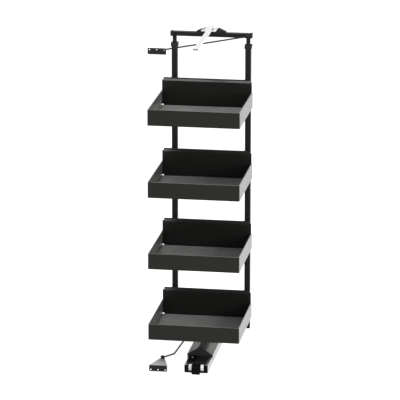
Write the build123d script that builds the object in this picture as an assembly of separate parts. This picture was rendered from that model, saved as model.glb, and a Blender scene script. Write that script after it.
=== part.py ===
from build123d import *
import os

# A full-height pull-out larder frame: four sheet trays hung on a two-post frame that rolls
# out on a floor runner, steadied by a rail under the cabinet's top and pulled by two rods.
# Millimetres. +Z is up, +X is right seen from the front, and the frame slides out along -Y.
# The origin is the centre of the floor runner's underside, which lies on the cabinet's floor.

# Driving dimensions of the frame
plane_front = -296.0            # the cabinet's front edge, where the door's brackets lie
post_size = 30.0
post_wall = 1.5
post_radius = 2.5
post_inset = 44.7               # of the posts' centre lines from half the trays' width
post_setback = 13.7             # clear space between the trays' backs and the posts
post_bottom = 95.0
post_rise = 323.0               # of the posts' tops over the top tray

# Running fits and air gaps
fit = 0.08                      # radial, a roller or eye on its pin
gap = 0.3                       # between pieces that slide past each other
overrun = 1.0                   # how far a cut runs past the face it opens

# Floor runner: a fixed channel, and the profile that rolls on it
channel_half = 61.5
channel_height = 41.0
channel_wall = 2.0
channel_lip = 14.0
channel_inset = 16.0            # of its front end behind the cabinet's front edge
channel_reach = 3.0             # of its back end past the profile's
floor_hole_x = 60.0             # the screw pattern in the channel's base
floor_hole_front = 80.0
floor_hole_back = 75.0
floor_hole_radius = 2.6

cap_flange = 4.0                # the nose that closes the channel's front end
cap_depth = 30.0
cap_block_half = 22.0
cap_side_half = 41.0
cap_sill = 4.0
cap_rise = 0.7                  # of its top over the channel
cap_nose = 8.0                  # of the middle block in front of the side blocks
foot_drop = 5.0                 # the tab that hooks over the floor's front edge
foot_rise = 20.0
foot_thick = 4.0

front_roller_radius = 17.0
front_roller_width = 16.0
front_roller_inset = 10.0       # axle behind the channel's front end
front_axle_radius = 4.0
tyre_round = 1.5

profile_wall = 2.2
profile_side_gap = 5.0          # between the channel and the skirts
profile_track_height = 14.7
profile_skirt = 26.0
profile_box_half = 45.0
profile_setback = 135.0         # of its front end behind the channel's
profile_reach = 29.0            # of its back end past the posts' centre line
profile_radius = 2.0

rear_roller_radius = 15.0
rear_roller_width = 8.0
rear_axle_radius = 4.0
rear_axle_inset = 32.0          # in front of the profile's back end
hanger_thick = 3.0
hanger_half = 12.0
buffer_depth = 10.0
buffer_height = 22.0
buffer_width = 16.0

# Black cover on the moving profile's front end
hood_thick = 3.0
hood_overhang = 0.6             # past the profile's sides
hood_shoulder_drop = 0.5
hood_rise = 43.0                # of its apex over the profile
hood_round = 12.0
tongue_setback = 16.0           # of its front edge behind the channel's front end
tongue_margin = 3.5             # of the channel's width left free on each side
tongue_nose_half = 50.0
tongue_thick = 7.6
tongue_round = 3.0
lever_x = -34.0
lever_setback = 48.0            # of its pin in front of the profile
lever_radius = 17.0
lever_thick = 4.0
lever_pin_radius = 4.0
lever_rim = 4.0
lever_tab_width = 7.0
lever_tab_height = 4.0
lever_angle = 57.0              # where its finger tab points, from +X

# Carrier tube on top of the profile, and the bracket that ties it to the posts' foot bar
carrier_width = 36.0
carrier_height = 23.0
carrier_wall = 2.0
foot_bar_size = 26.0
foot_bar_rise = 10.0            # over the posts' lower ends
bracket_half = 62.0
bracket_plate = 3.0
gusset_x = 40.0
gusset_run = 14.0

# Telescopic heads in the posts' tops
collar_size = 37.0
collar_grip = 13.0              # of the post held in the collar
collar_rise = 9.0
collar_radius = 4.0
inner_size = 20.0
inner_wall = 1.5
inner_reach = 160.0             # of the inner tube down into the post
inner_radius = 2.0
flare_size = 26.0
flare_height = 4.0
glide_height = 25.0
clamp_radius = 2.5
clamp_head_radius = 5.0
clamp_head_length = 6.0
clamp_rise = 4.5

# Top bar and its guide
bar_rise = 45.0                 # of the bar's underside over the posts
bar_height = 23.0
bar_depth = 30.0
bar_overhang = 19.7             # past the posts' centre lines
bar_wall = 1.5
bar_radius = 2.0
bar_cap_wrap = 12.0
bar_cap_wall = 1.5
wing_base_half = 78.0
wing_top_half = 41.0
wing_height = 22.5
wing_depth = 24.0
wing_toe = 6.0
saddle_margin = 1.0             # of the saddle past the rail's sides
saddle_length = 62.0
saddle_thick = 3.0
saddle_drop = 11.5              # from the wing's top down to the saddle
guide_pin_radius = 3.0
guide_roller_spacing = 30.0
guide_roller_height = 4.5

rail_half = 13.5
rail_wall = 1.5
rail_height = 6.5
rail_setback = 2.0              # of its front end behind the cabinet's front edge
rail_reach = 42.0               # of its back end past the posts' centre line
rail_lift = 10.5                # of the rail's lower edge above the saddle
rail_tip = 2.0
plate_half = 38.5
plate_length = 88.0
plate_inset = 69.0              # of its back edge from the rail's back end
plate_thick = 1.5
plate_hole_radius = 3.5
plate_hole_inset = 25.0
plate_hole_left = -18.0
plate_hole_right = 31.0
plate_slot_left = -31.0
plate_slot_right = 17.0
plate_slot_length = 58.0
plate_slot_inset = 7.0
plate_radius = 4.0

# Door brackets and the rods between them and the frame
bracket_x = -199.3
flange_width = 95.4
flange_height = 33.0
flange_radius = 5.0
sheet = 2.5
bracket_hole_radius = 3.5
bracket_hole_spacing = 38.0
bracket_hole_edge = 9.0
lower_bracket_z = 36.0          # top of the lower bracket's flat plate
upper_bracket_rise = 16.7       # of the upper bracket's flat plate over the bar's underside
pivot_shift = 3.3               # where both rods meet their brackets
pivot_reach = 122.0
apex_radius = 12.0
fold_drop = 7.0
eye_radius = 8.5
eye_height = 8.0
pin_radius = 4.0
pin_head_radius = 7.0
pin_head_height = 3.0
knob_radius = 10.0
knob_height = 4.5
knob_round = 2.0
rod_radius = 3.95
upper_rod_radius = 3.95
upper_pin_reach = 15.0          # in front of the bar's face
lower_bend_x = 51.0             # from the rods' front pivot
lower_bend_y = 70.0
lower_bend_radius = 14.0
lower_end_gap = 55.3            # of the rear pivot beside the profile
lower_end_reach = 6.0           # of the rear pivot in front of the posts
lug_width = 21.0
lug_plate = 3.0
arm_half = 12.0

# Trays
tray_count = 4
tray_pitch = 384.5
lowest_tray_z = 163.5           # its underside
tray_width = 480.0
tray_shift = -17.0              # the trays stand to the left of the frame's middle
tray_setback = 36.0             # behind the cabinet's front edge
tray_depth = 474.3
tray_height = 84.0
tray_sheet = 1.2
tray_corner = 3.5
tray_back_round = 16.0
tray_toe_round = 4.0
hem_depth = 9.0
hem_thick = 2.6
upstand_height = 12.0
upstand_inset = 18.0
mat_thick = 2.0
mat_inset = 2.5
mat_corner = 3.0
panel_inset = 22.3              # of the back panel's front face from the tray's back
panel_sheet = 1.5
panel_height = 134.5
panel_play = 0.3
notch_width = 8.0
notch_height = 7.0
lip_back = 9.0                  # the panel's lip leans back, then stands up
lip_rise = 9.0
lip_band = 7.0
lip_inset = 7.0

# Hangers that clamp each tray on the posts
hanger_wall = 2.0
hanger_width = 28.0
hanger_low = 22.0
hanger_drop = 2.0               # of its top under the panel's fold
clasp_rise = 18.0               # of the clasp's ends inside the hanger's
clasp_drop = 26.0
clasp_wall = 2.0
hook_thick = 1.5
clasp_screw_radius = 5.0
clasp_screw_height = 5.0


def block(x0, x1, y0, y1, z0, z1):
    """A box between two corners."""
    middle = Pos((x0 + x1) / 2, (y0 + y1) / 2, (z0 + z1) / 2)
    return middle * Box(abs(x1 - x0), abs(y1 - y0), abs(z1 - z0))


def upright(x, y, z0, z1, radius):
    """A round bar along Z."""
    return Pos(x, y, (z0 + z1) / 2) * Cylinder(radius, abs(z1 - z0))


def cross_bar(x0, x1, y, z, radius):
    """A round bar along X."""
    return Pos((x0 + x1) / 2, y, z) * Rot(0, 90, 0) * Cylinder(radius, abs(x1 - x0))


def deep_bar(x, y0, y1, z, radius):
    """A round bar along Y."""
    return Pos(x, (y0 + y1) / 2, z) * Rot(90, 0, 0) * Cylinder(radius, abs(y1 - y0))


def area(u0, u1, v0, v1):
    """A rectangle between two corners of a section."""
    return Pos((u0 + u1) / 2, (v0 + v1) / 2) * Rectangle(abs(u1 - u0), abs(v1 - v0))


def run_y(section, y0, y1):
    """A section drawn in X and Z, run along Y."""
    return Pos(0, y0, 0) * extrude(Plane.XZ * section, amount=y1 - y0, dir=(0, 1, 0))


def run_x(section, x0, x1):
    """A section drawn in Y and Z, run along X."""
    return Pos(x0, 0, 0) * extrude(Plane.YZ * section, amount=x1 - x0, dir=(1, 0, 0))


def run_z(section, z0, z1):
    """A section drawn in X and Y, run along Z."""
    return Pos(0, 0, z0) * extrude(section, amount=z1 - z0, dir=(0, 0, 1))


def ring_section(width, depth, wall, radius):
    """The section of a rounded square tube."""
    bore_radius = max(radius - wall, radius / 3)
    return (RectangleRounded(width, depth, radius)
            - RectangleRounded(width - 2 * wall, depth - 2 * wall, bore_radius))


def mirrored(shape):
    """The same piece on the other side of the frame's middle."""
    return mirror(shape, about=Plane.YZ)


def save(name, *solids):
    """One node: a piece, or a group of like pieces."""
    pieces = [solid for shape in solids for solid in shape.solids()]
    shape = pieces[0] if len(pieces) == 1 else Compound(children=pieces)
    export_step(shape, f"parts/{name}.step")


os.makedirs("parts", exist_ok=True)

# Places of the trays and posts, which the runner, the head and the rods follow
tray_left = tray_shift - tray_width / 2
tray_right = tray_shift + tray_width / 2
tray_front = plane_front + tray_setback
tray_back = tray_front + tray_depth
panel_y = tray_back - panel_inset
panel_back = panel_y + panel_sheet
post_half = post_size / 2
post_x = tray_width / 2 - post_inset
post_face = tray_back + post_setback
post_y = post_face + post_half
post_top = lowest_tray_z + (tray_count - 1) * tray_pitch + post_rise

# Places along the runner
channel_front = plane_front + channel_inset
profile_front = channel_front + profile_setback
profile_back = post_y + profile_reach
channel_back = profile_back + channel_reach
axle_y = channel_front + front_roller_inset
axle_z = 2 * channel_wall + cap_sill + front_roller_radius
web_bottom = axle_z + front_roller_radius + gap
lip_bottom = channel_height - channel_wall
profile_top = web_bottom + profile_track_height
profile_half = channel_half + profile_side_gap + profile_wall
cap_top = channel_height + cap_rise


# Fixed floor channel: a bent steel section, open at the top between two inward lips
def base_channel():
    section = area(-channel_half, channel_half, 0, channel_height)
    section -= area(channel_wall - channel_half, channel_half - channel_wall,
                    channel_wall, lip_bottom)
    mouth = channel_half - channel_lip
    section -= area(-mouth, mouth, lip_bottom - overrun, channel_height + overrun)
    body = run_y(section, channel_front, channel_back)
    for x in (-floor_hole_x / 2, floor_hole_x / 2):
        for y in (channel_front + floor_hole_front, channel_back - floor_hole_back):
            body -= upright(x, y, -overrun, channel_wall + overrun, floor_hole_radius)
    return body


# Nose of the channel: two side blocks, a middle block, a sill and the locating tab
def front_cap():
    front = channel_front - cap_flange
    back = channel_front + cap_depth
    plug_half = channel_half - channel_wall - gap
    body = block(-plug_half, plug_half, channel_front, back, channel_wall,
                 channel_wall + cap_sill)
    body += block(-channel_half, channel_half, front, channel_front, channel_wall,
                  channel_wall + cap_sill)
    nose = front - cap_nose
    body += block(-cap_block_half, cap_block_half, nose, back, channel_wall, cap_top)
    for side in (-1, 1):
        body += block(side * cap_side_half, side * plug_half, channel_front, back,
                      channel_wall, lip_bottom - gap)
        body += block(side * cap_side_half, side * channel_half, front, channel_front,
                      channel_wall, cap_top)
    corner = [edge for edge in body.edges().filter_by(Axis.Y)
              if abs(abs(edge.center().X) - channel_half) < fit
              and edge.center().Z > cap_sill + channel_wall + fit]
    body = fillet(corner, cap_sill)
    body += block(-cap_block_half, cap_block_half, nose - foot_thick, nose,
                  -foot_drop, foot_rise)
    body -= cross_bar(-cap_side_half - cap_sill - gap, cap_side_half + cap_sill + gap,
                      axle_y, axle_z, front_axle_radius + fit)
    return body


def front_axle():
    reach = cap_side_half + cap_sill
    return cross_bar(-reach, reach, axle_y, axle_z, front_axle_radius)


# A plastic wheel with a plain bore and eased tread edges
def wheel(x0, x1, y, z, radius, bore):
    body = cross_bar(x0, x1, y, z, radius)
    body = fillet(body.edges().filter_by(GeomType.CIRCLE), tyre_round)
    return body - cross_bar(x0 - overrun, x1 + overrun, y, z, bore + fit)


def front_roller(side):
    middle = side * (cap_block_half + cap_side_half) / 2
    return wheel(middle - front_roller_width / 2, middle + front_roller_width / 2,
                 axle_y, axle_z, front_roller_radius, front_axle_radius)


# Rubber buffers at the channel's rear end, which the frame closes against
def rear_buffer(side):
    outer = side * (channel_half - channel_wall)
    return block(outer - side * buffer_width, outer, channel_back - buffer_depth, channel_back,
                 channel_wall, channel_wall + buffer_height)


# Moving profile: an aluminium section that covers the channel like a lid. Its inner box
# gives the front rollers their track, and its skirts hang outside the channel
def moving_profile():
    section = area(-profile_half, profile_half, profile_top - profile_skirt, profile_top)
    section = fillet(section.vertices().group_by(Axis.Y)[-1], profile_radius)
    inner = profile_half - profile_wall
    section -= area(-inner, inner, 0, profile_top - profile_wall)
    box = area(-profile_box_half, profile_box_half, web_bottom, profile_top - profile_wall)
    box -= area(profile_wall - profile_box_half, profile_box_half - profile_wall,
                web_bottom + profile_wall, profile_top - profile_wall)
    return run_y(section + box, profile_front, profile_back)


rear_axle_y = profile_back - rear_axle_inset
rear_axle_z = lip_bottom - gap - rear_roller_radius
hanger_face = profile_box_half
rear_roller_face = channel_half - channel_wall - 2 * overrun


# Steel plates riveted under the profile's track, each with a stub axle
def roller_hanger(side):
    plate = block(side * (hanger_face - hanger_thick), side * hanger_face,
                  rear_axle_y - hanger_half, rear_axle_y + hanger_half,
                  rear_axle_z - hanger_half + rear_axle_radius, web_bottom)
    axle = cross_bar(side * (hanger_face - hanger_thick), side * rear_roller_face,
                     rear_axle_y, rear_axle_z, rear_axle_radius)
    return plate + axle


def rear_roller(side):
    ends = sorted((side * (rear_roller_face - rear_roller_width), side * rear_roller_face))
    return wheel(ends[0], ends[1], rear_axle_y, rear_axle_z, rear_roller_radius,
                 rear_axle_radius)


tongue_bottom = max(cap_top, axle_z + front_roller_radius) + 2 * gap
tongue_top = tongue_bottom + tongue_thick
tongue_front = channel_front + tongue_setback
tongue_half = channel_half - tongue_margin
hood_back = profile_front
hood_half = profile_half + hood_overhang
hood_shoulder = profile_top - hood_shoulder_drop
hood_apex = profile_top + hood_rise
lever_y = profile_front - lever_setback


# Moulded cover: a gabled front plate over the profile's end, and a tongue that reaches
# forward over the rollers
def runner_cover():
    gable = Polygon((-tongue_half, tongue_bottom), (tongue_half, tongue_bottom),
                    (hood_half, hood_shoulder), (0, hood_apex), (-hood_half, hood_shoulder),
                    align=None)
    gable = fillet(gable.vertices().group_by(Axis.Y)[-1], hood_round)
    plate = run_y(gable, hood_back - hood_thick, hood_back)
    outline = Polygon((-tongue_half, hood_back), (tongue_half, hood_back),
                      (tongue_nose_half, tongue_front), (-tongue_nose_half, tongue_front),
                      align=None)
    tongue = run_z(outline, tongue_bottom, tongue_top)
    rim = [edge for edge in tongue.edges().group_by(Axis.Z)[-1]
           if edge.center().Y < hood_back - hood_thick]
    tongue = fillet(rim, tongue_round)
    pin = upright(lever_x, lever_y, tongue_top - overrun, tongue_top + gap + lever_thick,
                  lever_pin_radius)
    return plate + tongue + pin


# Release lever: a low round dial with a finger tab, which turns on the cover's pin
def release_lever():
    bottom = tongue_top + gap
    body = upright(lever_x, lever_y, bottom, bottom + lever_thick, lever_radius)
    ring = upright(lever_x, lever_y, bottom + lever_thick / 2, bottom + lever_thick + overrun,
                   lever_radius - lever_rim)
    body -= ring - upright(lever_x, lever_y, bottom, bottom + lever_thick + 2 * overrun,
                           lever_pin_radius + lever_rim)
    root = lever_pin_radius + fit
    tab = Polygon((root, -lever_tab_width / 2), (lever_radius, 0), (root, lever_tab_width / 2),
                  align=None)
    tab = Pos(lever_x, lever_y) * Rot(0, 0, lever_angle) * tab
    body += run_z(tab, bottom, bottom + lever_thick + lever_tab_height)
    body -= upright(lever_x, lever_y, bottom - overrun, bottom + lever_thick + 2 * lever_tab_height,
                    lever_pin_radius + fit)
    return body


# Rectangular steel tube bolted along the profile's top, from the hood to the foot bracket
def carrier_tube():
    section = Pos(0, profile_top + carrier_height / 2) * ring_section(
        carrier_width, carrier_height, carrier_wall, post_radius)
    return run_y(section, hood_back, post_face - bracket_plate)


foot_bar_bottom = post_bottom + foot_bar_rise


# Square tube between the posts' feet
def foot_bar():
    middle = foot_bar_bottom + foot_bar_size / 2
    section = Pos(post_y, middle) * ring_section(foot_bar_size, foot_bar_size, post_wall,
                                                 post_radius)
    return run_x(section, post_half - post_x, post_x - post_half)


# Welded bracket from the profile up to the foot bar
def foot_bracket():
    base = profile_top + bracket_plate
    body = block(-bracket_half, bracket_half, post_face - bracket_plate,
                 post_y + post_half + gusset_run - bracket_plate, profile_top, base)
    body += block(-bracket_half, bracket_half, post_y - bracket_plate / 2,
                  post_y + bracket_plate / 2, base, foot_bar_bottom)
    for x in (-gusset_x, gusset_x):
        body += block(x - bracket_plate / 2, x + bracket_plate / 2, post_y - foot_bar_size / 2,
                      post_y + foot_bar_size / 2, base, foot_bar_bottom)
    return body


eye_low = lower_bracket_z + gap
eye_top = eye_low + eye_height
rod_low_z = eye_low + eye_height / 2
lower_end_x = -profile_half - lower_end_gap
lower_end_y = post_face - lower_end_reach


# Arm that carries the lower rod's rear pin, screwed on the foot bracket
def rod_arm():
    base = profile_top + bracket_plate
    outline = Polygon((lower_end_x - arm_half, lower_end_y - arm_half),
                      (lower_end_x + arm_half, lower_end_y - arm_half),
                      (-gusset_x - 2 * bracket_plate, post_face),
                      (-gusset_x - 2 * bracket_plate, post_y - bracket_plate),
                      (lower_end_x - arm_half, post_y - bracket_plate), align=None)
    body = run_z(outline, base, base + bracket_plate)
    body += upright(lower_end_x, lower_end_y, eye_top + gap, base, pin_head_radius)
    body += upright(lower_end_x, lower_end_y, eye_low - gap - pin_head_height, base, pin_radius)
    body += upright(lower_end_x, lower_end_y, eye_low - gap - pin_head_height, eye_low - gap,
                    pin_head_radius)
    return body


# The two uprights, square steel tube
def post(side):
    section = Pos(side * post_x, post_y) * ring_section(post_size, post_size, post_wall,
                                                        post_radius)
    return run_z(section, post_bottom, post_top)


# Plastic plug in each post's lower end
def post_plug(side):
    inner = post_size - 2 * post_wall - 2 * fit
    section = RectangleRounded(post_size, post_size, post_radius)
    body = Pos(side * post_x, post_y, 0) * run_z(section, post_bottom - 2 * post_wall, post_bottom)
    bottom = body.faces().sort_by(Axis.Z)[0]
    body = fillet(bottom.edges(), post_wall)
    core = RectangleRounded(inner, inner, post_radius / 2)
    return body + Pos(side * post_x, post_y, 0) * run_z(core, post_bottom - post_wall,
                                                        post_bottom + post_half)


collar_bottom = post_top - collar_grip
collar_top = post_top + collar_rise
clamp_z = post_top + clamp_rise
inner_bottom = post_top - inner_reach
bar_bottom = post_top + bar_rise


# Clamping collar: it sits on the post's top and guides the inner tube
def collar(side):
    outer = Pos(side * post_x, post_y) * RectangleRounded(collar_size, collar_size, collar_radius)
    body = run_z(outer, collar_bottom, collar_top)
    body = fillet(body.faces().sort_by(Axis.Z)[-1].edges(), post_wall)
    seat = post_size + 2 * fit
    body -= Pos(side * post_x, post_y, 0) * run_z(
        RectangleRounded(seat, seat, post_radius), collar_bottom - overrun, post_top)
    bore = inner_size + 2 * gap
    body -= Pos(side * post_x, post_y, 0) * run_z(
        RectangleRounded(bore, bore, inner_radius), post_top - overrun, collar_top + overrun)
    return body - clamp_bar(side, clamp_radius + fit, 0, collar_size)


# Clamp screws: the left one goes in from behind, the right one from the right
def clamp_bar(side, radius, start, end):
    tip = inner_size / 2 + gap
    if side < 0:
        return deep_bar(side * post_x, post_y + tip + start, post_y + tip + end, clamp_z, radius)
    return cross_bar(post_x + tip + start, post_x + tip + end, post_y, clamp_z, radius)


def clamp_screw(side):
    shank = (collar_size - inner_size) / 2 - gap
    body = clamp_bar(side, clamp_radius, gap, shank + gap)
    head = clamp_bar(side, clamp_head_radius, shank + gap, shank + clamp_head_length)
    ends = head.edges().filter_by(GeomType.CIRCLE)
    return body + chamfer(ends, clamp_head_radius / 5)


# Inner tubes of the telescope, each with a flared top plate under the bar
def inner_tube(side):
    place = Pos(side * post_x, post_y)
    body = run_z(place * ring_section(inner_size, inner_size, inner_wall, inner_radius),
                 inner_bottom, bar_bottom - flare_height)
    flare = loft([Pos(side * post_x, post_y, bar_bottom - flare_height)
                  * RectangleRounded(inner_size, inner_size, inner_radius),
                  Pos(side * post_x, post_y, bar_bottom)
                  * RectangleRounded(flare_size, flare_size, inner_radius)])
    return body + flare


# Plastic glide on each inner tube's lower end
def glide(side):
    outer = post_size - 2 * post_wall - 2 * gap
    section = RectangleRounded(outer, outer, post_radius / 2)
    section -= RectangleRounded(inner_size + 2 * fit, inner_size + 2 * fit, inner_radius)
    body = run_z(section, inner_bottom, inner_bottom + glide_height)
    cap = RectangleRounded(outer, outer, post_radius / 2)
    body += run_z(cap, inner_bottom - post_wall, inner_bottom)
    return Pos(side * post_x, post_y, 0) * body


bar_top = bar_bottom + bar_height
bar_mid = bar_bottom + bar_height / 2
bar_front = post_y - bar_depth / 2
bar_half = post_x + bar_overhang


# Top bar, a flat rectangular tube, with a moulded cap wrapped round each end
def top_bar():
    section = Pos(post_y, bar_mid) * ring_section(bar_depth, bar_height, bar_wall, bar_radius)
    return run_x(section, -bar_half, bar_half)


def bar_cap(side):
    section = RectangleRounded(bar_depth + 2 * bar_cap_wall, bar_height + 2 * bar_cap_wall,
                               bar_radius + bar_cap_wall)
    start = bar_half - bar_cap_wrap
    body = run_x(Pos(post_y, bar_mid) * section, start, bar_half + bar_cap_wall)
    body = fillet(body.faces().sort_by(Axis.X)[-1].edges(), bar_cap_wall / 2)
    pocket = RectangleRounded(bar_depth + 2 * fit, bar_height + 2 * fit, bar_radius)
    body -= run_x(Pos(post_y, bar_mid) * pocket, start - overrun, bar_half)
    flare = flare_size + 2 * gap
    body -= block(post_x - flare / 2, post_x + flare / 2, post_y - flare / 2, post_y + flare / 2,
                  bar_bottom - bar_cap_wall - overrun, bar_bottom)
    return body if side > 0 else mirrored(body)


wing_top = bar_top + wing_height
saddle_top = wing_top - saddle_drop
saddle_half = rail_half + saddle_margin
rail_bottom = saddle_top + rail_lift
rail_top = rail_bottom + rail_height
rail_front = plane_front + rail_setback
rail_back = post_y + rail_reach


# Guide bracket: a winged casting on the bar, with a saddle that carries the guide rollers
def guide_bracket():
    wing = Polygon((-wing_base_half, bar_top), (wing_base_half, bar_top),
                   (wing_base_half, bar_top + wing_toe), (wing_top_half, wing_top),
                   (-wing_top_half, wing_top), (-wing_base_half, bar_top + wing_toe), align=None)
    body = run_y(wing, post_y - wing_depth / 2, post_y + wing_depth / 2)
    slot_half = rail_half + 3 * gap
    body -= block(-slot_half, slot_half, post_y - wing_depth, post_y + wing_depth,
                  saddle_top, wing_top + overrun)
    body += block(-saddle_half, saddle_half, post_y - saddle_length / 2,
                  post_y + saddle_length / 2, saddle_top - saddle_thick, saddle_top)
    for y in guide_places():
        body -= upright(0, y, saddle_top - saddle_thick - overrun, saddle_top + overrun,
                        guide_pin_radius)
    return body


def guide_places():
    """Where the two guide pins stand along the rail."""
    return (post_y - guide_roller_spacing / 2, post_y + guide_roller_spacing / 2)


roller_top = rail_top - rail_wall - 2 * gap
guide_roller_radius = rail_half - rail_wall - gap


def guide_pin(y):
    return upright(0, y, saddle_top - saddle_thick, roller_top, guide_pin_radius)


def guide_roller(y):
    body = upright(0, y, roller_top - guide_roller_height, roller_top, guide_roller_radius)
    body = fillet(body.edges().filter_by(GeomType.CIRCLE), tyre_round / 2)
    return body - upright(0, y, roller_top - guide_roller_height - overrun,
                          roller_top + overrun, guide_pin_radius + fit)


# Guide rail: a channel that opens downwards, screwed under the cabinet's top
def guide_rail():
    section = area(-rail_half, rail_half, rail_bottom, rail_top)
    section -= area(rail_wall - rail_half, rail_half - rail_wall, rail_bottom - overrun,
                    rail_top - rail_wall)
    return run_y(section, rail_front, rail_back)


def rail_stop(y0, y1):
    return block(-rail_half, rail_half, y0, y1, rail_bottom, rail_top)


# Fixing plate across the rail: each ear has a round hole and a long slot
def rail_plate():
    back = rail_back - plate_inset
    outline = Pos(0, back - plate_length / 2) * RectangleRounded(
        2 * plate_half, plate_length, plate_radius)
    body = run_z(outline, rail_top, rail_top + plate_thick)
    for x in (plate_hole_left, plate_hole_right):
        body -= upright(x, back - plate_hole_inset, rail_top - overrun,
                        rail_top + plate_thick + overrun, plate_hole_radius)
    for x in (plate_slot_left, plate_slot_right):
        slot = Pos(x, back - plate_slot_inset - plate_slot_length / 2) * SlotOverall(
            plate_slot_length, 2 * plate_hole_radius, rotation=90)
        body -= run_z(slot, rail_top - overrun, rail_top + plate_thick + overrun)
    return body


upper_bracket_z = bar_bottom + upper_bracket_rise
pivot_x = bracket_x + pivot_shift
pivot_y = plane_front + pivot_reach


# Door bracket: a screw flange, a flat plate that runs back to its pivot, and a folded edge.
# The lower one hangs down from its plate, and the upper one stands up from it
def door_bracket(plate_low, plate_high, flange_low, flange_high, hole_z, fold):
    left = bracket_x - flange_width / 2
    right = bracket_x + flange_width / 2
    flange = RectangleRounded(flange_width, abs(flange_high - flange_low), flange_radius)
    flange = Pos(bracket_x, (flange_low + flange_high) / 2) * flange
    flange += area(left, right, plate_low, plate_high)
    body = run_y(flange, plane_front, plane_front + sheet)
    outline = make_hull([*Polyline((left, plane_front), (right, plane_front)).edges(),
                         *(Pos(pivot_x, pivot_y) * Circle(apex_radius)).edges()])
    body += run_z(outline, plate_low, plate_high)
    for step in (-1, 0, 1):
        body -= deep_bar(bracket_x + step * bracket_hole_spacing, plane_front - overrun,
                         plane_front + sheet + overrun, hole_z, bracket_hole_radius)
    strip = Polygon((right, plane_front), (right, plane_front + flange_radius),
                    (pivot_x + apex_radius, pivot_y), (pivot_x + apex_radius - sheet, pivot_y),
                    (right - sheet, plane_front + flange_radius), (right - sheet, plane_front),
                    align=None)
    body += run_z(strip, min(fold, plate_low), max(fold, plate_high))
    return body - upright(pivot_x, pivot_y, plate_low - overrun, plate_high + overrun, pin_radius)


def lower_bracket():
    return door_bracket(lower_bracket_z - sheet, lower_bracket_z,
                        lower_bracket_z - flange_height, lower_bracket_z,
                        lower_bracket_z - flange_height + bracket_hole_edge,
                        lower_bracket_z - fold_drop)


def upper_bracket():
    return door_bracket(upper_bracket_z, upper_bracket_z + sheet, upper_bracket_z,
                        upper_bracket_z + flange_height,
                        upper_bracket_z + flange_height - bracket_hole_edge,
                        upper_bracket_z + fold_drop)


# Rivet with a round knob, which holds the lower rod's eye on its bracket
def lower_knob():
    top = eye_top + gap + knob_height
    knob = upright(pivot_x, pivot_y, eye_top + gap, top, knob_radius)
    knob = fillet(knob.edges().group_by(Axis.Z)[-1], knob_round)
    foot = lower_bracket_z - sheet - pin_head_height / 2
    rivet = upright(pivot_x, pivot_y, foot, lower_bracket_z - sheet, pin_radius + sheet)
    return knob + upright(pivot_x, pivot_y, lower_bracket_z - sheet, top - knob_round,
                          pin_radius) + rivet


upper_eye_top = upper_bracket_z - gap
upper_eye_low = upper_eye_top - eye_height
rod_high_z = upper_eye_top - eye_height / 2
upper_end_x = post_x - gap
upper_end_y = bar_front - upper_pin_reach


def upper_rivet():
    low = upper_eye_low - gap
    body = upright(pivot_x, pivot_y, low, upper_bracket_z + sheet, pin_radius)
    body += upright(pivot_x, pivot_y, low - pin_head_height, low, pin_head_radius)
    return body + upright(pivot_x, pivot_y, upper_bracket_z + sheet,
                          upper_bracket_z + sheet + pin_head_height / 2, pin_radius + sheet)


def eye(x, y, z0):
    return upright(x, y, z0, z0 + eye_height, eye_radius)


def eye_bore(x, y, z0):
    return upright(x, y, z0 - overrun, z0 + eye_height + overrun, pin_radius + fit)


# Straight steel rod with an eye at each end
def upper_rod():
    line = Line((pivot_x, pivot_y, rod_high_z), (upper_end_x, upper_end_y, rod_high_z))
    body = sweep(Plane(line @ 0, z_dir=line % 0) * Circle(upper_rod_radius), path=line)
    body += eye(pivot_x, pivot_y, upper_eye_low) + eye(upper_end_x, upper_end_y, upper_eye_low)
    return body - eye_bore(pivot_x, pivot_y, upper_eye_low) - eye_bore(
        upper_end_x, upper_end_y, upper_eye_low)


# Cranked steel rod that passes beside the floor runner
def lower_rod():
    line = FilletPolyline((pivot_x, pivot_y, rod_low_z),
                          (pivot_x + lower_bend_x, pivot_y + lower_bend_y, rod_low_z),
                          (lower_end_x, lower_end_y, rod_low_z), radius=lower_bend_radius)
    body = sweep(Plane(line @ 0, z_dir=line % 0) * Circle(rod_radius), path=line)
    body += eye(pivot_x, pivot_y, eye_low) + eye(lower_end_x, lower_end_y, eye_low)
    return body - eye_bore(pivot_x, pivot_y, eye_low) - eye_bore(
        lower_end_x, lower_end_y, eye_low)


# Lug on the top bar's face with the upper rod's pin
def rod_lug():
    right = bar_half - bar_cap_wrap - gap
    left = right - lug_width
    low = upper_eye_low - gap - lug_plate
    body = block(left, right, upper_end_y - eye_radius - overrun, bar_front, low, low + lug_plate)
    body += block(left, right, bar_front - lug_plate, bar_front, low, upper_eye_top + lug_plate)
    body += upright(upper_end_x, upper_end_y, low - pin_head_height, upper_eye_top + gap,
                    pin_radius)
    body += upright(upper_end_x, upper_end_y, upper_eye_top + gap,
                    upper_eye_top + gap + pin_head_height, pin_head_radius)
    return body + upright(upper_end_x, upper_end_y, low - pin_head_height, low, pin_head_radius)


def tray_outline(inset):
    """The tray's plan, drawn in by a wall, with its two front corners rounded."""
    outline = area(tray_left + inset, tray_right - inset, tray_front + inset, tray_back)
    return fillet(outline.vertices().group_by(Axis.Y)[0], max(tray_corner - inset, tray_sheet / 2))


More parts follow.
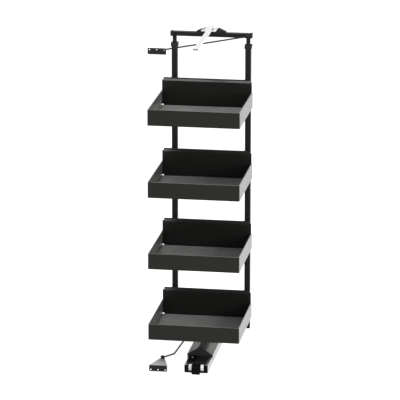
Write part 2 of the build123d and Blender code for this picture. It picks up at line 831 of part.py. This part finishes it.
# Tray shell: floor, front and sides of one sheet, a hemmed rim and an upstand at the back
def tray_shell(z):
    body = run_z(tray_outline(0), 0, tray_height)
    body -= run_z(tray_outline(tray_sheet), tray_sheet, tray_height + overrun)
    inner_left = tray_left + tray_sheet
    inner_right = tray_right - tray_sheet
    body -= block(inner_left, inner_right, panel_back + panel_play + tray_sheet,
                  tray_back + overrun, -overrun, tray_sheet + overrun)
    hem = run_z(tray_outline(tray_sheet) - tray_outline(tray_sheet + hem_thick),
                tray_height - hem_depth, tray_height)
    hem -= block(tray_left, tray_right, panel_y - panel_play, tray_back + overrun, 0,
                 tray_height + overrun)
    body += hem
    top_edges = [edge for edge in body.edges().filter_by(Axis.X)
                 if abs(edge.center().Y - tray_back) < fit and edge.center().Z > tray_height / 2]
    body = fillet(top_edges, tray_back_round)
    toe_edges = [edge for edge in body.edges().filter_by(Axis.X)
                 if abs(edge.center().Y - tray_back) < fit and edge.center().Z < tray_sheet]
    body = fillet(toe_edges, tray_toe_round)
    upstand = block(tray_left + upstand_inset, tray_right - upstand_inset,
                    panel_back + panel_play, panel_back + panel_play + tray_sheet,
                    0, upstand_height)
    return Pos(0, 0, z) * (body + upstand)


# Anti-slip mat on the tray's floor
def tray_mat(z):
    outline = Pos(tray_shift, (tray_front + panel_y) / 2) * RectangleRounded(
        tray_width - 2 * tray_sheet - 2 * mat_inset, panel_y - tray_front - 2 * mat_inset,
        mat_corner)
    return Pos(0, 0, z) * run_z(outline, tray_sheet, tray_sheet + mat_thick)


# Back panel: a taller sheet with a folded lip, and a relief notch in each lower corner
def back_panel(z):
    lip_z = panel_height + lip_rise
    section = Polygon((panel_y, tray_sheet), (panel_back, tray_sheet),
                      (panel_back, panel_height - panel_sheet / 2),
                      (panel_back + lip_back, lip_z - panel_sheet / 2),
                      (panel_back + lip_back, lip_z + lip_band),
                      (panel_y + lip_back, lip_z + lip_band),
                      (panel_y + lip_back, lip_z),
                      (panel_y, panel_height), align=None)
    left = tray_left + tray_sheet + panel_play
    right = tray_right - tray_sheet - panel_play
    body = run_x(section, left, right)
    for x0, x1 in ((left - overrun, left + lip_inset), (right - lip_inset, right + overrun)):
        body -= block(x0, x1, panel_y - overrun, panel_back + lip_back + overrun,
                      panel_height + lip_rise / 2, lip_z + lip_band + overrun)
    for x0, x1 in ((left - overrun, left + notch_width), (right - notch_width, right + overrun)):
        body -= block(x0, x1, panel_y - overrun, panel_back + overrun,
                      tray_sheet - overrun, tray_sheet + notch_height)
    return Pos(0, 0, z) * body


hanger_high = panel_height - hanger_drop
clasp_low = hanger_low + clasp_rise
clasp_high = hanger_high - clasp_drop


# Hanger: a folded box from the panel back to the post, a hook over the panel's lip and a
# clasp round the post
def tray_hanger(z, side):
    centre = side * post_x
    half = hanger_width / 2
    face = post_face - gap
    body = block(centre - half, centre + half, panel_back, face, hanger_low, hanger_high)
    body -= block(centre - half + hanger_wall, centre + half - hanger_wall,
                  panel_back + hanger_wall, face - hanger_wall, hanger_low - overrun,
                  hanger_high - hanger_wall)
    body = Pos(0, 0, z) * body
    hook_face = panel_back + lip_back
    top = panel_height + lip_rise + lip_band
    hook = block(centre - half, centre + half, hook_face, hook_face + hook_thick,
                 hanger_high - overrun, top + hook_thick)
    hook += block(centre - half, centre + half, hook_face - panel_sheet - hook_thick, hook_face,
                  top, top + hook_thick)
    body += Pos(0, 0, z) * hook
    clasp_half = post_half + gap
    clasp = block(centre - clasp_half - clasp_wall, centre + clasp_half + clasp_wall,
                  face - 2 * clasp_wall, post_y + clasp_half + clasp_wall, clasp_low, clasp_high)
    clasp -= block(centre - clasp_half, centre + clasp_half, face - 3 * clasp_wall,
                   post_y + clasp_half, clasp_low - overrun, clasp_high + overrun)
    for cheek in (-1, 1):
        clasp += block(centre + cheek * (half - hanger_wall),
                       centre + cheek * (clasp_half + clasp_wall),
                       face - 2 * clasp_wall, face, clasp_low, clasp_high)
    return body + Pos(0, 0, z) * clasp


# Screw through the back of each clasp
def clasp_screw(z, side):
    face = post_y + post_half + gap + clasp_wall
    middle = (clasp_low + clasp_high) / 2
    head = deep_bar(side * post_x, face, face + clasp_screw_height, z + middle,
                    clasp_screw_radius)
    return chamfer(head.edges().filter_by(GeomType.CIRCLE).sort_by(Axis.Y)[-1],
                   clasp_screw_radius / 5)


sides = (-1, 1)
words = {-1: "left", 1: "right"}

save("base_channel", base_channel())
save("front_cap", front_cap())
save("front_axle", front_axle())
save("rear_buffers", *[rear_buffer(side) for side in sides])
save("moving_profile", moving_profile())
save("roller_hangers", *[roller_hanger(side) for side in sides])
save("runner_cover", runner_cover())
save("release_lever", release_lever())
save("carrier_tube", carrier_tube())
save("foot_bar", foot_bar())
save("foot_bracket", foot_bracket())
save("rod_arm", rod_arm())
save("post_plugs", *[post_plug(side) for side in sides])
save("glides", *[glide(side) for side in sides])
save("top_bar", top_bar())
save("bar_caps", *[bar_cap(side) for side in sides])
save("guide_bracket", guide_bracket())
save("guide_pins", *[guide_pin(y) for y in guide_places()])
save("guide_roller_front", guide_roller(guide_places()[0]))
save("guide_roller_rear", guide_roller(guide_places()[1]))
save("guide_rail", guide_rail())
save("rail_stops", rail_stop(rail_front - rail_tip, rail_front),
     rail_stop(rail_back, rail_back + rail_tip))
save("rail_plate", rail_plate())
save("rod_lug", rod_lug())
save("upper_rod", upper_rod())
save("upper_bracket", upper_bracket())
save("upper_rivet", upper_rivet())
save("lower_rod", lower_rod())
save("lower_bracket", lower_bracket())
save("lower_knob", lower_knob())
for side in sides:
    save(f"front_roller_{words[side]}", front_roller(side))
    save(f"rear_roller_{words[side]}", rear_roller(side))
    save(f"post_{words[side]}", post(side))
    save(f"collar_{words[side]}", collar(side))
    save(f"inner_tube_{words[side]}", inner_tube(side))
    save(f"clamp_screw_{words[side]}", clamp_screw(side))
for number in range(1, tray_count + 1):
    height = lowest_tray_z + (tray_count - number) * tray_pitch
    save(f"tray_shell_{number}", tray_shell(height))
    save(f"tray_mat_{number}", tray_mat(height))
    save(f"back_panel_{number}", back_panel(height))
    save(f"tray_hangers_{number}", *[tray_hanger(height, side) for side in sides],
         *[clasp_screw(height, side) for side in sides])
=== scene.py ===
import math
import bmesh
import bpy
from mathutils import Matrix, Vector


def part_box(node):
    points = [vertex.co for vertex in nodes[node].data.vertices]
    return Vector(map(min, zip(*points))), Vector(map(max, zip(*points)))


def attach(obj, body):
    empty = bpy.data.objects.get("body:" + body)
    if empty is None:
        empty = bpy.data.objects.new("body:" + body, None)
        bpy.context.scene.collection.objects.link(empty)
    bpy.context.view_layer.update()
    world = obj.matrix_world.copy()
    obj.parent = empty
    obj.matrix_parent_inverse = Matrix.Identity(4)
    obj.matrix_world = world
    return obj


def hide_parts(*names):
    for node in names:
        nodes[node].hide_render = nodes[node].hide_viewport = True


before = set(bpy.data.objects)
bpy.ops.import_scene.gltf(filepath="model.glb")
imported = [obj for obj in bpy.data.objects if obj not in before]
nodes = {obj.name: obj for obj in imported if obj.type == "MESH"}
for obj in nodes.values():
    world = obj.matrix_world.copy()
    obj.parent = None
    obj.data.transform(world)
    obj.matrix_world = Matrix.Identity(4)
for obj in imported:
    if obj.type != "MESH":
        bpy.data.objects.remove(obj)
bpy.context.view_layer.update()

# The view of the photograph: a long lens from a little right of the front, looking down.
# The larder frame stands on white, so floor and background show as white and keep a shadow.
camera_place = (2.4227, -15.6502, 5.2288)
camera_turn = (math.radians(74.245), 0, math.radians(8.894))
camera_lens = 282.09
camera_sensor = 36
camera_shift = (0.0015, 0.0461)
camera_reach = 60
white = (1, 1, 1, 1)
sky_light = 0.45
sky_shown = 1.0
floor_level = -0.0055
floor_size = 30.0
floor_colour = (0.60, 0.60, 0.60, 1)
floor_roughness = 0.9
floor_glow = 0.88

view = bpy.data.cameras.new("view")
view.lens = camera_lens
view.sensor_width = camera_sensor
view.shift_x, view.shift_y = camera_shift
view.clip_end = camera_reach
camera = bpy.data.objects.new("view", view)
camera.location = camera_place
camera.rotation_euler = camera_turn
bpy.context.collection.objects.link(camera)
bpy.context.scene.camera = camera
bpy.context.scene.view_settings.view_transform = "Standard"


def feed(tree, node, inputs):
    """Gives a node's inputs their plain values, or links them to the sockets given."""
    for socket, value in inputs.items():
        if isinstance(value, bpy.types.NodeSocket):
            tree.links.new(value, node.inputs[socket])
        else:
            node.inputs[socket].default_value = value


def shader(tree, kind, inputs, **settings):
    """Adds a shader node with its settings and inputs."""
    node = tree.nodes.new("ShaderNode" + kind)
    for setting, value in settings.items():
        setattr(node, setting, value)
    feed(tree, node, inputs)
    return node


def background_rays(tree):
    """1 for the rays that show the background itself, 0 for the light that falls on things."""
    rays = shader(tree, "LightPath", {}).outputs
    seen = {0: rays["Is Camera Ray"], 1: rays["Is Glossy Ray"]}
    return shader(tree, "Math", seen, operation="MAXIMUM").outputs[0]


world = bpy.data.worlds.new("studio")
bpy.context.scene.world = world
world.use_nodes = True
tree = world.node_tree
tree.nodes.clear()
strength = shader(tree, "MapRange", {"Value": background_rays(tree), "To Min": sky_light,
                                     "To Max": sky_shown})
sky = shader(tree, "Background", {"Color": white, "Strength": strength.outputs[0]})
shader(tree, "OutputWorld", {0: sky.outputs[0]})

floor_mesh = bmesh.new()
bmesh.ops.create_grid(floor_mesh, x_segments=1, y_segments=1, size=floor_size)
bmesh.ops.translate(floor_mesh, verts=floor_mesh.verts, vec=(0, 0, floor_level))
floor_data = bpy.data.meshes.new("floor")
floor_mesh.to_mesh(floor_data)
floor_mesh.free()
floor = bpy.data.objects.new("floor", floor_data)
bpy.context.collection.objects.link(floor)
paper = bpy.data.materials.new("floor")
paper.use_nodes = True
tree = paper.node_tree
glow = shader(tree, "Math", {0: background_rays(tree), 1: floor_glow}, operation="MULTIPLY")
feed(tree, tree.nodes["Principled BSDF"], {
    "Base Color": floor_colour, "Roughness": floor_roughness, "Specular IOR Level": 0,
    "Emission Color": white, "Emission Strength": glow.outputs[0]})
floor_data.materials.append(paper)


def lamp(name, place, aim, size, power):
    """A soft square lamp that looks at a point."""
    light = bpy.data.lights.new(name, "AREA")
    light.size = size
    light.energy = power
    lit = bpy.data.objects.new(name, light)
    lit.location = place
    lit.rotation_euler = (Vector(aim) - Vector(place)).to_track_quat("-Z", "Y").to_euler()
    bpy.context.collection.objects.link(lit)


lamp("top_lamp", place=(-0.4, -0.7, 4.9), aim=(0, 0, 0.9), size=2.2, power=68)
lamp("front_lamp", place=(-1.2, -5.0, 2.6), aim=(0, 0, 0.8), size=2.6, power=27.5)
lamp("side_lamp", place=(4.8, -1.4, 2.1), aim=(0, 0, 0.85), size=1.6, power=238)

# Floor channel and the profile that rolls along it: drawn aluminium sections, with fine
# streaks along their length. The channel is screwed to the cabinet's floor and has rubber
# buffers at its back end.
even_grain = (1, 1, 1)
grain_along_y = (1, 0.02, 1)
grain_detail = 3
cloud_scale = 9
roughness_change = 0.08
relief_strength = 0.35
sheen_roughness = 0.35
gloss_ior = 1.8
gloss_starts = 0.5
gloss_full = 0.8


def surface_group(name, stretch):
    """Colour, roughness and height that change over the surface by a stretched noise."""
    made = bpy.data.node_groups.new(name, "ShaderNodeTree")
    colour, number = "NodeSocketColor", "NodeSocketFloat"
    for label, kind in (("Colour", colour), ("Scale", number), ("Variation", number),
                        ("Roughness", number)):
        made.interface.new_socket(label, in_out="INPUT", socket_type=kind)
    for label, kind in (("Colour", colour), ("Roughness", number), ("Height", number)):
        made.interface.new_socket(label, in_out="OUTPUT", socket_type=kind)
    given = made.nodes.new("NodeGroupInput").outputs
    place = shader(made, "TexCoord", {}).outputs["Object"]
    stretched = shader(made, "Mapping", {"Vector": place, "Scale": stretch}).outputs[0]
    grain = shader(made, "TexNoise", {"Vector": stretched, "Scale": given["Scale"],
                                      "Detail": grain_detail}).outputs["Fac"]
    cloud = shader(made, "TexNoise", {"Vector": place, "Scale": cloud_scale}).outputs["Fac"]
    both = shader(made, "Math", {0: grain, 1: cloud}, operation="ADD").outputs[0]
    swing = shader(made, "Math", {0: both, 1: 1}, operation="SUBTRACT").outputs[0]
    shade = shader(made, "Math", {0: swing, 1: given["Variation"], 2: 1},
                   operation="MULTIPLY_ADD").outputs[0]
    tint = shader(made, "VectorMath", {0: given["Colour"], "Scale": shade},
                  operation="SCALE").outputs[0]
    rough = shader(made, "Math", {0: swing, 1: roughness_change, 2: given["Roughness"]},
                   operation="MULTIPLY_ADD").outputs[0]
    feed(made, made.nodes.new("NodeGroupOutput"),
         {"Colour": tint, "Roughness": rough, "Height": grain})
    return made


def finish(name, skin, colour, scale, roughness, variation=0.1, bump=0.0002, metallic=0.0,
           specular=0.5, gloss=0.0, gloss_roughness=0.15, sheen=0.0):
    """A material on one of the shared skins. Gloss is its clear skin seen at a low angle."""
    made = bpy.data.materials.new(name)
    made.use_nodes = True
    made.diffuse_color = (*colour, 1)
    tree = made.node_tree
    pattern = shader(tree, "Group", {"Colour": (*colour, 1), "Scale": scale,
                                     "Variation": variation, "Roughness": roughness},
                     node_tree=skin)
    relief = shader(tree, "Bump", {"Strength": relief_strength, "Distance": bump,
                                   "Height": pattern.outputs["Height"]})
    surface = tree.nodes["Principled BSDF"]
    feed(tree, surface, {
        "Base Color": pattern.outputs["Colour"], "Roughness": pattern.outputs["Roughness"],
        "Normal": relief.outputs[0], "Metallic": metallic, "Specular IOR Level": specular,
        "Sheen Weight": sheen, "Sheen Roughness": sheen_roughness,
        "Coat Roughness": gloss_roughness, "Coat IOR": gloss_ior})
    if gloss:
        facing = shader(tree, "LayerWeight", {})
        rise = shader(tree, "MapRange", {"Value": facing.outputs["Facing"], "To Max": gloss,
                                         "From Min": gloss_starts, "From Max": gloss_full})
        feed(tree, surface, {"Coat Weight": rise.outputs[0]})
    return made


def dress(material, *names):
    """Gives a finish to pieces that keep their built shape."""
    for name in names:
        for place in nodes[name].material_slots:
            place.material = material


drawn_skin = surface_group("drawn_skin", grain_along_y)
coat_skin = surface_group("coat_skin", even_grain)
runner_metal = finish("runner_metal", drawn_skin, (0.44, 0.44, 0.425), scale=900,
                      roughness=0.34, variation=0.16, metallic=0.45, specular=0.3,
                      bump=0.00005)
rubber = finish("rubber", coat_skin, (0.02, 0.02, 0.02), scale=900, roughness=0.8,
                specular=0.3)
dress(runner_metal, "base_channel", "moving_profile")
dress(rubber, "rear_buffers")

# Nose, cover and caps: black moulded plastic with a fine grain. The nose closes the channel,
# and the gabled cover closes the rolling profile. Below its gable, the cover's tongue is
# painted blacker: painted shade from the lowest tray above, on the same plastic.
# The gable's black is the plastic's own colour; the tongue's blacker tone is painted shade.
gable_black = (0.032, 0.032, 0.030)
tongue_painted_shade = (0.013, 0.013, 0.012)
tongue_level = 0.0515
tongue_blend = 0.002
black_plastic = finish("black_plastic", coat_skin, (0.015, 0.015, 0.014), scale=1500,
                       roughness=0.5, specular=0.2, bump=0.00008)
cover_plastic_and_painted_shade = finish("cover_plastic_and_painted_shade", coat_skin, gable_black, scale=1500, roughness=0.6,
                       specular=0.12, bump=0.00008)
nose_plastic = finish("nose_plastic", coat_skin, (0.003, 0.003, 0.003), scale=1500,
                      roughness=0.6, specular=0.06, bump=0.00008)


def painted_light_tones(material, source, start, end, first, second):
    """Paints a material's colour between two tones by a vector's height: painted light or
    shade.
    """
    tree = material.node_tree
    height = shader(tree, "SeparateXYZ", {0: source}).outputs["Z"]
    share = shader(tree, "MapRange", {"Value": height, "From Min": start, "From Max": end})
    tones = shader(tree, "Mix", {"Factor": share.outputs[0], "A": (*first, 1),
                                 "B": (*second, 1)}, data_type="RGBA")
    pattern = next(node for node in tree.nodes if node.type == "GROUP")
    feed(tree, pattern, {"Colour": tones.outputs["Result"]})


# Painted shade: below the tongue's level the cover takes the blacker tone.
place = shader(cover_plastic_and_painted_shade.node_tree, "TexCoord", {}).outputs["Object"]
painted_light_tones(cover_plastic_and_painted_shade, place, tongue_level, tongue_level + tongue_blend, tongue_painted_shade,
         gable_black)
dress(black_plastic, "post_plugs", "bar_caps", "guide_bracket", "collar_left",
      "collar_right")
dress(cover_plastic_and_painted_shade, "runner_cover")
dress(nose_plastic, "front_cap", "release_lever", "lower_knob")

# Rollers, guide wheels and glides: white acetal, polished by running. The rollers run in the
# floor channel, the guide wheels run in the rail, and the glides fill the posts.
white_plastic = finish("white_plastic", coat_skin, (0.95, 0.95, 0.94), scale=700,
                       roughness=0.35, variation=0.03, specular=0.4)
dress(white_plastic, "front_roller_left", "front_roller_right", "rear_roller_left",
      "rear_roller_right", "guide_roller_front", "guide_roller_rear", "glides")

# Axles, pins, clamp screws and the upper rivet: zinc-plated steel, turned or cold headed.
# The rear rollers' hanger plates have the same plating.
zinc = finish("zinc", coat_skin, (0.5, 0.5, 0.49), scale=1200, roughness=0.35, metallic=1.0)
dress(zinc, "front_axle", "roller_hangers", "guide_pins", "clamp_screw_left",
      "clamp_screw_right", "upper_rivet")

# Posts, bars and brackets: square steel tube and sheet under a satin black powder coat.
# They make one stiff upright frame on the rolling profile.
post_coat = finish("post_coat", coat_skin, (0.0145, 0.0145, 0.0135), scale=1300,
                   roughness=0.45, specular=0.1, bump=0.00012, gloss=0.12,
                   gloss_roughness=0.3)
dress(post_coat, "post_left", "post_right", "foot_bar", "foot_bracket", "rod_arm",
      "carrier_tube", "inner_tube_left", "inner_tube_right", "top_bar", "rod_lug")

# Guide rail and its fixing plate: white-coated steel channel, with a grey moulded tip. The
# plate is screwed under the cabinet's top.
rail_coat = finish("rail_coat", drawn_skin, (0.80, 0.80, 0.79), scale=600, roughness=0.4,
                   variation=0.06, specular=0.4)
grey_plastic = finish("grey_plastic", coat_skin, (0.16, 0.16, 0.16), scale=900,
                      roughness=0.5)
dress(rail_coat, "guide_rail", "rail_plate")
dress(grey_plastic, "rail_stops")

# Door brackets: two like pressings of thick sheet under one dark coat. Their flat tops carry a
# painted reflection: a lighter, speckled grey than the black screw flange, as the photo shows
# on the lower one.
# The black is the coat's own colour; the grey is painted reflection on faces that look up.
flange_black = (0.019, 0.019, 0.019)
painted_reflection_grey = (0.40, 0.40, 0.39)
painted_reflection_starts = 0.8
painted_reflection_full = 0.95
bracket_coat_and_painted_reflection = finish("bracket_coat_and_painted_reflection", coat_skin, flange_black, scale=1300, roughness=0.4,
                      variation=0.6, specular=0.11, gloss=1.0, gloss_roughness=0.35)
# Painted reflection: faces that look up take the lighter grey.
normal = shader(bracket_coat_and_painted_reflection.node_tree, "NewGeometry", {}).outputs["True Normal"]
painted_light_tones(bracket_coat_and_painted_reflection, normal, painted_reflection_starts, painted_reflection_full, flange_black, painted_reflection_grey)
dress(bracket_coat_and_painted_reflection, "lower_bracket", "upper_bracket")

# Rods: two round steel bars that tie the frame to the door. The upper one is dark grey, and
# the cranked lower one is black.
rod_grey = finish("rod_grey", coat_skin, (0.006, 0.006, 0.006), scale=900, roughness=0.4,
                  specular=0.1)
rod_black = finish("rod_black", coat_skin, (0.0015, 0.0015, 0.0015), scale=900,
                   roughness=0.5, specular=0.03)
dress(rod_grey, "upper_rod")
dress(rod_black, "lower_rod")

# Trays: folded steel sheet in anthracite lacquer, with a separate taller back panel. Black
# hangers behind the panel hook each tray on the posts.
tray_numbers = range(1, 5)
tray_lacquer = finish("tray_lacquer", coat_skin, (0.017, 0.017, 0.014), scale=1400,
                      roughness=0.3, specular=0.12, bump=0.00004, gloss=0.4,
                      gloss_roughness=0.2, sheen=0.45)
# The back panels take the trays' paint set darker: painted shade from the trays above them.
panel_lacquer_and_painted_shade = finish("panel_lacquer_and_painted_shade", coat_skin, (0.011, 0.011, 0.010), scale=1400,
                       roughness=0.38, specular=0.13, bump=0.00004, gloss=1.0)
for number in tray_numbers:
    dress(tray_lacquer, f"tray_shell_{number}")
    dress(panel_lacquer_and_painted_shade, f"back_panel_{number}")
    dress(post_coat, f"tray_hangers_{number}")

# Mats: grey anti-slip rubber, rolled with fine ribs across the tray. Each lies loose on its
# tray's floor.
mat_rib_pitch = 0.0045
mat_rib_height = 0.0005
grain_along_x = (0.02, 1, 1)
rolled_skin = surface_group("rolled_skin", grain_along_x)
mat_rubber = finish("mat_rubber", rolled_skin, (0.195, 0.195, 0.19), scale=700,
                    roughness=0.6, variation=0.5, specular=0.3)


def span(name):
    """A built piece's lowest and highest corner, as vectors."""
    low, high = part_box(name)
    return Vector(low), Vector(high)


def add(name, mesh, material, body):
    """Makes a new piece of a bmesh and lets it ride on its body."""
    data = bpy.data.meshes.new(name)
    bmesh.ops.recalc_face_normals(mesh, faces=mesh.faces)
    mesh.to_mesh(data)
    mesh.free()
    data.materials.append(material)
    piece = bpy.data.objects.new(name, data)
    bpy.context.collection.objects.link(piece)
    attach(piece, body)
    return piece


def ribbed_mat(number):
    """A mat whose top rises and falls in ribs from side to side."""
    low, high = span(f"tray_mat_{number}")
    size = high - low
    middle = (low + high) / 2
    half_ribs = 2 * int(size.y / mat_rib_pitch)
    mesh = bmesh.new()
    bmesh.ops.create_grid(mesh, x_segments=1, y_segments=half_ribs, size=0.5,
                          matrix=Matrix.Diagonal((size.x, size.y, 1, 1)))
    bmesh.ops.translate(mesh, verts=mesh.verts, vec=(middle.x, middle.y, high.z))
    step = size.y / half_ribs
    dips = [v for v in mesh.verts if round((v.co.y - low.y) / step) % 2 == 0]
    bmesh.ops.translate(mesh, verts=dips, vec=(0, 0, -mat_rib_height))
    rim = bmesh.ops.extrude_face_region(mesh, geom=mesh.faces[:])
    for part in rim["geom"]:
        if isinstance(part, bmesh.types.BMVert):
            part.co.z = low.z
    return mesh


for number in tray_numbers:
    mat = add(f"mat_{number}", ribbed_mat(number), mat_rubber, f"tray_{number}")
    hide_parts(f"tray_mat_{number}")

# Side flanges of the back panels: the sheet is folded back at both ends and bears on the
# tray's walls, so that no light passes between them.
flange_run = 0.008
flange_skin = 0.0003
flange_setback = 0.001
flange_drop = 0.004
notch_rise = 0.0072


def box_between(mesh, low, high, round_off=0.0):
    """Adds a block between two corners, with its edges rounded off."""
    made = bmesh.ops.create_cube(mesh, size=1)["verts"]
    low, high = Vector(low), Vector(high)
    bmesh.ops.scale(mesh, verts=made, vec=high - low)
    bmesh.ops.translate(mesh, verts=made, vec=(low + high) / 2)
    if round_off:
        edges = list({edge for vert in made for edge in vert.link_edges})
        bmesh.ops.bevel(mesh, geom=edges, offset=round_off, segments=2, affect="EDGES",
                        profile=0.5, material=-1)


for number in tray_numbers:
    low, high = span(f"back_panel_{number}")
    wall_top = span(f"tray_shell_{number}")[1].z
    mesh = bmesh.new()
    for edge in (low.x, high.x):
        box_between(mesh, (edge - flange_skin, low.y + flange_setback, low.z + notch_rise),
                    (edge + flange_skin, low.y + flange_run, wall_top - flange_drop))
    add(f"panel_flanges_{number}", mesh, panel_lacquer_and_painted_shade, f"tray_{number}")

# Lips of the back panels: the fold above each panel leans back and then stands up. Its
# lacquer is smoother there, so that the top tray's lip mirrors the light above it.
lip_skin = 0.0003
lip_band = 0.007
lip_fold = 0.016
lip_lean = 0.009
lip_inset = 0.0075
lip_lacquer = finish("lip_lacquer", coat_skin, (0.014, 0.014, 0.013), scale=1400,
                     roughness=0.35, specular=0.42, bump=0.00003)
for number in tray_numbers:
    low, high = span(f"back_panel_{number}")
    mesh = bmesh.new()
    rise = [mesh.verts.new((low.x + lip_inset, y, z)) for y, z in (
        (low.y, high.z - lip_fold), (low.y + lip_lean, high.z - lip_band),
        (low.y + lip_lean, high.z - lip_skin))]
    edges = [mesh.edges.new(pair) for pair in zip(rise, rise[1:])]
    swept = bmesh.ops.extrude_edge_only(mesh, edges=edges)["geom"]
    far = [part for part in swept if isinstance(part, bmesh.types.BMVert)]
    bmesh.ops.translate(mesh, verts=far, vec=(high.x - low.x - 2 * lip_inset, 0, 0))
    bmesh.ops.recalc_face_normals(mesh, faces=mesh.faces)
    if mesh.faces[:][0].normal.y > 0:
        bmesh.ops.reverse_faces(mesh, faces=mesh.faces)
    bmesh.ops.solidify(mesh, geom=mesh.faces[:], thickness=-lip_skin)
    add(f"panel_lip_{number}", mesh, lip_lacquer, f"tray_{number}")

# Backing of the rail's fixing plate: a black plastic pad under it on each side of the rail,
# which shows through the plate's holes and slots.
pad_inset = 0.003
pad_gap = 0.0001
pad_thick = 0.0014
plate_low, plate_high = span("rail_plate")
rail_low, rail_high = span("guide_rail")
pad_top = plate_low.z - pad_gap
mesh = bmesh.new()
for left, right in ((plate_low.x + pad_inset, rail_low.x),
                    (rail_high.x, plate_high.x - pad_inset)):
    box_between(mesh, (left, plate_low.y + pad_inset, pad_top - pad_thick),
                (right, plate_high.y - pad_inset, pad_top))
add("plate_pad", mesh, nose_plastic, "rail")

# Well of the release lever: a thin dark sheet on the tongue round the lever is painted shade
# of the well, open on its left, with a thin raised rim in front and on the right.
well_left, well_right = -0.055, -0.009
well_front, well_back = -0.252, -0.149
well_rim = 0.0012
well_rim_round = 0.3 * well_rim
well_skin = 0.00015
lever_clearance = 0.0003
lever_low, lever_high = span("release_lever")
tongue_top = lever_low.z - lever_clearance
mesh = bmesh.new()
# The dark sheet: painted shade of the well.
box_between(mesh, (well_left, well_front, tongue_top),
            (well_right, well_back, tongue_top + well_skin))
box_between(mesh, (well_left, well_front, tongue_top),
            (well_right, well_front + well_rim, tongue_top + well_rim), well_rim_round)
box_between(mesh, (well_right - well_rim, well_front, tongue_top),
            (well_right, well_back, tongue_top + well_rim), well_rim_round)
add("lever_well_painted_shade", mesh, nose_plastic, "frame")

# Screws: pan heads with a hexagon socket. A zinc-plated one holds the release lever on its
# pin, four hold the foot bracket on the runner, and two black ones hold the winged guide
# bracket on the top bar.
socket_share = 0.5
socket_land = 0.2
head_round = 0.35
sixth = math.radians(60)


def highest_face(mesh):
    """The face of a mesh that lies highest."""
    return max(mesh.faces, key=lambda face: face.calc_center_median().z)


def screw_head(mesh, place, direction, radius, height):
    """Adds a pan head with a hexagon socket, its underside at a place."""
    head = bmesh.new()
    bmesh.ops.create_cone(head, cap_ends=True, segments=24, radius1=radius, radius2=radius,
                          depth=height)
    bmesh.ops.bevel(head, geom=list(highest_face(head).edges), offset=height * head_round,
                    segments=3, affect="EDGES", profile=0.5, material=-1)
    socket = highest_face(head)
    bmesh.ops.inset_individual(head, faces=[socket], thickness=radius * socket_land)
    for vert in socket.verts:
        turn = math.atan2(vert.co.y, vert.co.x) % sixth - sixth / 2
        across = vert.co.to_2d().normalized() * radius * socket_share / math.cos(turn)
        vert.co.x, vert.co.y = across
    socket = bmesh.ops.extrude_discrete_faces(head, faces=[socket])["faces"][0]
    bmesh.ops.translate(head, verts=socket.verts, vec=(0, 0, -height * socket_share))
    bmesh.ops.translate(head, verts=head.verts, vec=(0, 0, height / 2))
    facing = Vector(direction).to_track_quat("Z", "Y").to_matrix().to_4x4()
    bmesh.ops.transform(head, matrix=Matrix.Translation(place) @ facing, verts=head.verts)
    loose = bpy.data.meshes.new("head")
    head.to_mesh(loose)
    head.free()
    mesh.from_mesh(loose)
    bpy.data.meshes.remove(loose)


up = (0, 0, 1)
forward = (0, -1, 0)
lever_tab = 0.004
lever_middle = (lever_low + lever_high) / 2
mesh = bmesh.new()
screw_head(mesh, (lever_middle.x, lever_middle.y, lever_high.z - lever_tab), up,
           radius=0.005, height=0.003)
add("lever_screw", mesh, zinc, "frame")

wing_screw_x = 0.060
wing_screw_rise = 0.005
wing_face = 0.231
wing_foot = span("guide_bracket")[0].z
mesh = bmesh.new()
for x in (-wing_screw_x, wing_screw_x):
    screw_head(mesh, (x, wing_face, wing_foot + wing_screw_rise), forward, radius=0.0032,
               height=0.0022)
add("wing_screws", mesh, post_coat, "head")

foot_screw_inset = 0.010
foot_plate = 0.003
foot_low, foot_high = span("foot_bracket")
mesh = bmesh.new()
for x in (foot_low.x + foot_screw_inset, foot_high.x - foot_screw_inset):
    for y in (foot_low.y + foot_screw_inset, foot_high.y - foot_screw_inset):
        screw_head(mesh, (x, y, foot_low.z + foot_plate), up, radius=0.005, height=0.0035)
add("foot_screws", mesh, zinc, "frame")

# Rivets along the guide rail: grey flat heads, pressed nearly flush, which pin the rail's
# inner liner.
rivet_first = -0.233
rivet_pitch = 0.063
rivet_count = 6
rivet_height = 0.0006
mesh = bmesh.new()
for place in range(rivet_count):
    made = bmesh.ops.create_cone(mesh, cap_ends=True, segments=20, radius1=0.0026,
                                 radius2=0.0020, depth=rivet_height)["verts"]
    bmesh.ops.translate(mesh, verts=made, vec=(0, rivet_first + place * rivet_pitch,
                                               rail_high.z + rivet_height / 2))
add("rail_rivets", mesh, grey_plastic, "rail")
